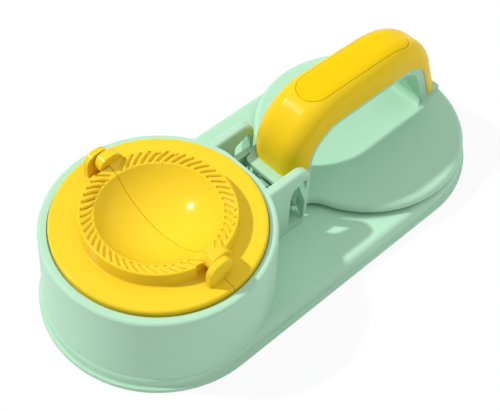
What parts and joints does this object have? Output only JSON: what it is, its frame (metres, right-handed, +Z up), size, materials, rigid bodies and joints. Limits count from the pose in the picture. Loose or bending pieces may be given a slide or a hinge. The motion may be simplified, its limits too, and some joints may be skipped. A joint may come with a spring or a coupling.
{
  "type": "dumpling press",
  "caption": "Tabletop dumpling press: a folding ruffled mould on a tall drum and a hinged lever with a pressing disc over a low platform, on one long rounded base.",
  "frame": {"origin": "middle of the base's footprint, at the level the rubber feet stand on", "axes": "+X from the drum with the mould towards the pressing disc, +Z up, Y along the mould's parting line and both hinge axes"},
  "size_m": [0.2802, 0.1272, 0.0825],
  "materials": {
    "mint_plastic": "satin",
    "yellow_plastic": "satin gloss",
    "deep_yellow_plastic": "gloss",
    "steel": "turned",
    "rubber": "matte"
  },
  "bodies": {
    "base": {"base_housing": "mint_plastic", "mould_half_fixed": "yellow_plastic", "lever_pin": "steel", "rubber_foot_1": "rubber", "rubber_foot_2": "rubber", "rubber_foot_3": "rubber", "rubber_foot_4": "rubber"},
    "lever": {"press_lever": "mint_plastic", "handle_cover": "yellow_plastic", "handle_inlay": "deep_yellow_plastic", "handle_screw_1": "steel", "handle_screw_2": "steel"},
    "mould_flap": {"mould_half_folding": "yellow_plastic"}
  },
  "joints": [
    {"name": "lever_hinge", "type": "hinge", "parent": "base", "child": "lever", "pos_m": [-0.0105, 0, 0.035], "axis": [0, -1, 0], "range_deg": [0, 50]},
    {"name": "mould_fold", "type": "hinge", "parent": "base", "child": "mould_flap", "pos_m": [-0.0765, 0, 0.0685], "axis": [0, -1, 0], "range_deg": [0, 180]}
  ]
}
